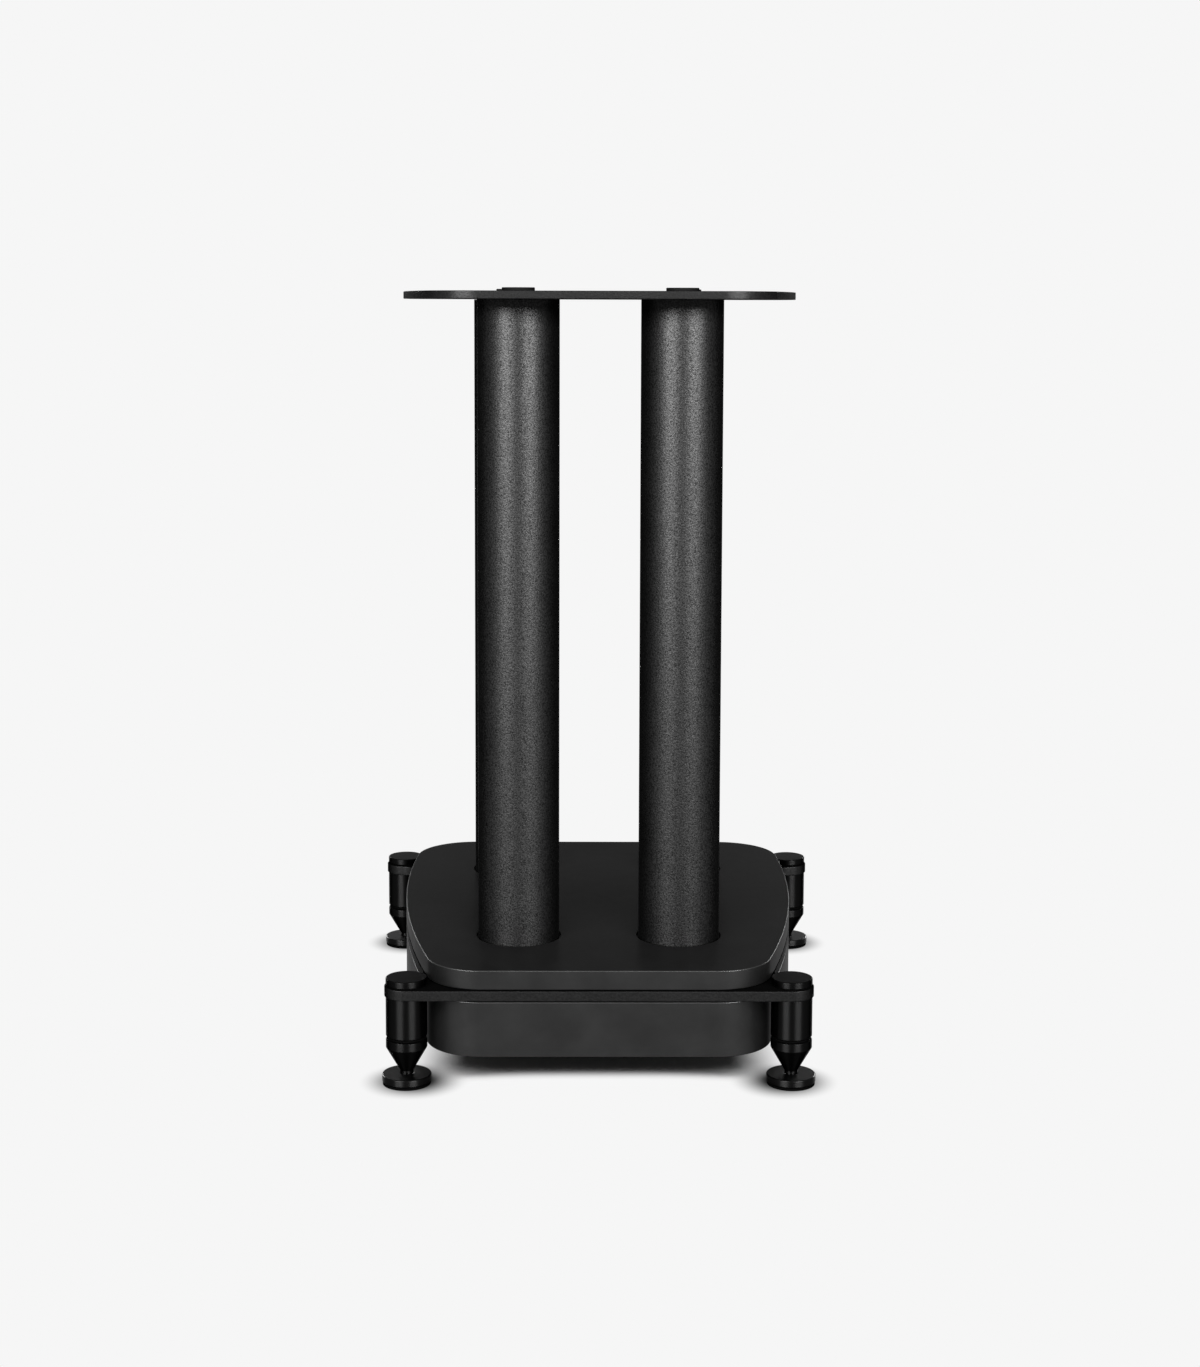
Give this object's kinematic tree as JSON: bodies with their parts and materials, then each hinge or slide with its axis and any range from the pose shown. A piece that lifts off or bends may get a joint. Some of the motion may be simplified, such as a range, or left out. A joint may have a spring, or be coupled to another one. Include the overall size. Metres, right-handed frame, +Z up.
{
  "type": "speaker stand",
  "caption": "Floor stand for a bookshelf loudspeaker: steel top plate on round pillars over a layered plinth, with adjustable spike feet on outrigger ears.",
  "frame": {"origin": "on the floor, midway between the feet", "axes": "+Z up, front towards -Y, +X to the right as seen from the front"},
  "size_m": [0.3964, 0.4142, 0.613],
  "materials": {
    "powder_coated_steel": "fine-grained satin black powder coat",
    "lacquered_board": "satin black lacquer on fibreboard",
    "anodised_aluminium": "turned, black anodised, semi-gloss",
    "rubber": "matt black rubber",
    "mild_steel": "bare turned steel",
    "black_steel": "blackened steel fasteners"
  },
  "bodies": {
    "frame": {"top_plate": "powder_coated_steel", "upper_board": "lacquered_board", "outrigger_plate": "powder_coated_steel", "lower_board": "lacquered_board", "pillar_front_left": "powder_coated_steel", "pillar_front_right": "powder_coated_steel", "pillar_rear_left": "powder_coated_steel", "pillar_rear_right": "powder_coated_steel", "top_plug_front_left": "mild_steel", "top_plug_front_right": "mild_steel", "top_plug_rear_left": "mild_steel", "top_plug_rear_right": "mild_steel", "bottom_plug_front_left": "mild_steel", "bottom_plug_front_right": "mild_steel", "bottom_plug_rear_left": "mild_steel", "bottom_plug_rear_right": "mild_steel", "top_screw_front_left": "black_steel", "top_screw_front_right": "black_steel", "top_screw_rear_left": "black_steel", "top_screw_rear_right": "black_steel", "base_bolt_front_left": "black_steel", "base_bolt_front_right": "black_steel", "base_bolt_rear_left": "black_steel", "base_bolt_rear_right": "black_steel", "pad_front_left": "rubber", "pad_front_right": "rubber", "pad_rear_left": "rubber", "pad_rear_right": "rubber", "foot_front_left_cap_bolt": "anodised_aluminium", "foot_front_right_cap_bolt": "anodised_aluminium", "foot_rear_left_cap_bolt": "anodised_aluminium", "foot_rear_right_cap_bolt": "anodised_aluminium", "foot_front_left_washer": "rubber", "foot_front_right_washer": "rubber", "foot_rear_left_washer": "rubber", "foot_rear_right_washer": "rubber", "foot_front_left_barrel": "anodised_aluminium", "foot_front_right_barrel": "anodised_aluminium", "foot_rear_left_barrel": "anodised_aluminium", "foot_rear_right_barrel": "anodised_aluminium"},
    "disc_front_left": {"foot_front_left_floor_disc": "anodised_aluminium", "foot_front_left_disc_pad": "rubber"},
    "disc_front_right": {"foot_front_right_floor_disc": "anodised_aluminium", "foot_front_right_disc_pad": "rubber"},
    "disc_rear_left": {"foot_rear_left_floor_disc": "anodised_aluminium", "foot_rear_left_disc_pad": "rubber"},
    "disc_rear_right": {"foot_rear_right_floor_disc": "anodised_aluminium", "foot_rear_right_disc_pad": "rubber"},
    "spike_front_left": {"foot_front_left_spike": "anodised_aluminium", "foot_front_left_lock_ring": "rubber"},
    "spike_front_right": {"foot_front_right_spike": "anodised_aluminium", "foot_front_right_lock_ring": "rubber"},
    "spike_rear_left": {"foot_rear_left_spike": "anodised_aluminium", "foot_rear_left_lock_ring": "rubber"},
    "spike_rear_right": {"foot_rear_right_spike": "anodised_aluminium", "foot_rear_right_lock_ring": "rubber"}
  },
  "joints": [
    {"name": "front_left_travel", "type": "slide", "parent": "frame", "child": "disc_front_left", "axis": [0, 0, -1], "range_m": [0, 0.012]},
    {"name": "front_left_turn", "type": "hinge", "parent": "disc_front_left", "child": "spike_front_left", "pos_m": [-0.14867, -0.188, 0.0295], "axis": [0, 0, -1], "range_deg": [0, 2880]},
    {"name": "front_right_travel", "type": "slide", "parent": "frame", "child": "disc_front_right", "axis": [0, 0, -1], "range_m": [0, 0.012]},
    {"name": "front_right_turn", "type": "hinge", "parent": "disc_front_right", "child": "spike_front_right", "pos_m": [0.14867, -0.188, 0.0295], "axis": [0, 0, -1], "range_deg": [0, 2880]},
    {"name": "rear_left_travel", "type": "slide", "parent": "frame", "child": "disc_rear_left", "axis": [0, 0, -1], "range_m": [0, 0.012]},
    {"name": "rear_left_turn", "type": "hinge", "parent": "disc_rear_left", "child": "spike_rear_left", "pos_m": [-0.17907, 0.188, 0.0295], "axis": [0, 0, -1], "range_deg": [0, 2880]},
    {"name": "rear_right_travel", "type": "slide", "parent": "frame", "child": "disc_rear_right", "axis": [0, 0, -1], "range_m": [0, 0.012]},
    {"name": "rear_right_turn", "type": "hinge", "parent": "disc_rear_right", "child": "spike_rear_right", "pos_m": [0.17907, 0.188, 0.0295], "axis": [0, 0, -1], "range_deg": [0, 2880]}
  ],
  "couplings": [
    {"joint": "front_left_travel", "follows": "front_left_turn", "m_per_rad": 0.00023873},
    {"joint": "front_right_travel", "follows": "front_right_turn", "m_per_rad": 0.00023873},
    {"joint": "rear_left_travel", "follows": "rear_left_turn", "m_per_rad": 0.00023873},
    {"joint": "rear_right_travel", "follows": "rear_right_turn", "m_per_rad": 0.00023873}
  ]
}
